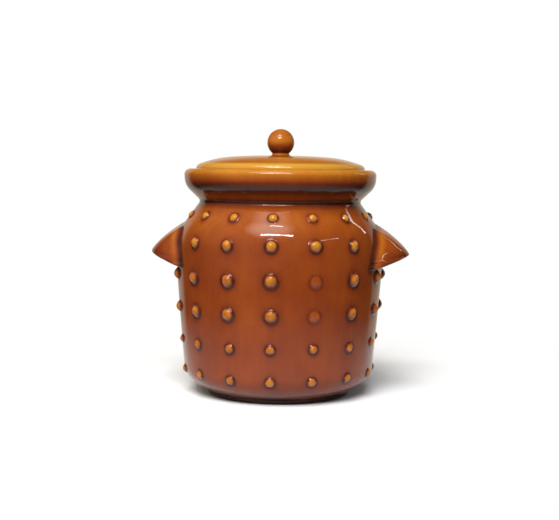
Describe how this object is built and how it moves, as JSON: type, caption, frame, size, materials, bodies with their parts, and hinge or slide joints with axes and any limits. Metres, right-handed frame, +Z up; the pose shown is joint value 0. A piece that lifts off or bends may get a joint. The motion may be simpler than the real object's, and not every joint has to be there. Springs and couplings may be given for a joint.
{
  "type": "ceramic crock fermenter",
  "caption": "Glazed stoneware fermenting crock with raised buttons, two lifting lugs, a water-seal collar, a knobbed lid and two half-moon weights inside.",
  "frame": {"origin": "centre of the foot ring, on the surface the crock stands on", "axes": "+Z up, front towards -Y, lifting lugs along +X and -X"},
  "size_m": [0.279, 0.228, 0.2835],
  "materials": {
    "body_glaze": "glossy transparent honey-brown glaze on stoneware, darker where it pools",
    "lug_glaze": "glossy honey-brown glaze, lighter on the edges and dark in the joint with the wall",
    "button_glaze": "the same glaze run thin, golden on the crowns with a dark ring at the foot",
    "lid_glaze": "glossy honey-brown glaze, breaking golden on the rolled edge",
    "bare_stoneware": "unglazed buff stoneware with fine iron specks"
  },
  "bodies": {
    "crock": {"crock_base": "body_glaze", "crock_belly": "body_glaze", "crock_shoulder": "body_glaze", "gutter_base": "body_glaze", "collar": "body_glaze", "mouth_ring": "body_glaze", "handle_left": "lug_glaze", "handle_right": "lug_glaze", "stud_row_1": "button_glaze", "stud_row_2": "button_glaze", "stud_row_3": "button_glaze", "stud_row_4": "button_glaze", "stud_row_5": "button_glaze", "stud_row_6": "button_glaze"},
    "lid": {"lid": "lid_glaze", "lid_skirt": "lid_glaze", "lid_knob": "lid_glaze"},
    "weight_front": {"weight_front": "bare_stoneware"},
    "weight_back": {"weight_back": "bare_stoneware"}
  },
  "joints": [
    {"name": "lid_lift", "type": "slide", "parent": "crock", "child": "lid", "axis": [0, 0, 1], "range_m": [0, 0.2]},
    {"name": "weight_front_lift", "type": "slide", "parent": "crock", "child": "weight_front", "axis": [0, 0, 1], "range_m": [0, 0.13]},
    {"name": "weight_back_lift", "type": "slide", "parent": "crock", "child": "weight_back", "axis": [0, 0, 1], "range_m": [0, 0.13]}
  ]
}
